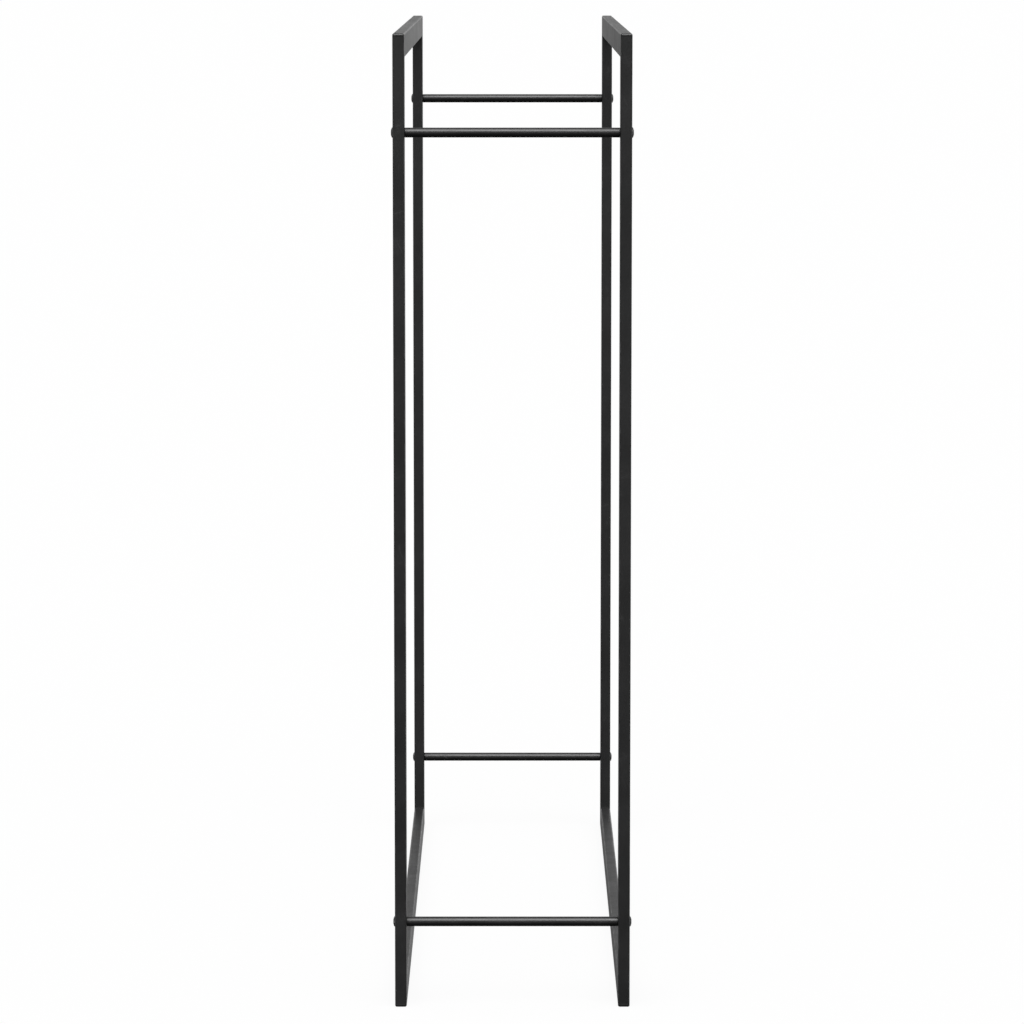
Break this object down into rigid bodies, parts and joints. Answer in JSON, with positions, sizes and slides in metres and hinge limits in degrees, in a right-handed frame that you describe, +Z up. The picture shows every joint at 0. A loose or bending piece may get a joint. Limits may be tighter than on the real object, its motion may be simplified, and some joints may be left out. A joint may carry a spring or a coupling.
{
  "type": "firewood log rack",
  "caption": "Tall narrow open firewood rack: two black rectangular tube frames side by side, held apart by round rods bolted across near their corners.",
  "frame": {"origin": "on the floor, under the middle of the rack", "axes": "+X along the rack's length, +Y across its depth from the front frame to the back frame, +Z up"},
  "size_m": [1, 0.2458, 1],
  "materials": {
    "frame_coat": "matt black powder coat with a fine grain, on thin-wall steel tube",
    "rod_coat": "black powder coat, a little smoother, on round steel bar",
    "bolt_black": "satin black plated steel bolts"
  },
  "bodies": {
    "root": {"front_frame_top_bar": "frame_coat", "front_frame_bottom_bar": "frame_coat", "front_frame_left_post": "frame_coat", "front_frame_right_post": "frame_coat", "back_frame_top_bar": "frame_coat", "back_frame_bottom_bar": "frame_coat", "back_frame_left_post": "frame_coat", "back_frame_right_post": "frame_coat", "top_left_rod": "rod_coat", "bottom_left_rod": "rod_coat", "top_right_rod": "rod_coat", "bottom_right_rod": "rod_coat", "front_top_left_bolt": "bolt_black", "back_top_left_bolt": "bolt_black", "front_bottom_left_bolt": "bolt_black", "back_bottom_left_bolt": "bolt_black", "front_top_right_bolt": "bolt_black", "back_top_right_bolt": "bolt_black", "front_bottom_right_bolt": "bolt_black", "back_bottom_right_bolt": "bolt_black"}
  },
  "joints": []
}
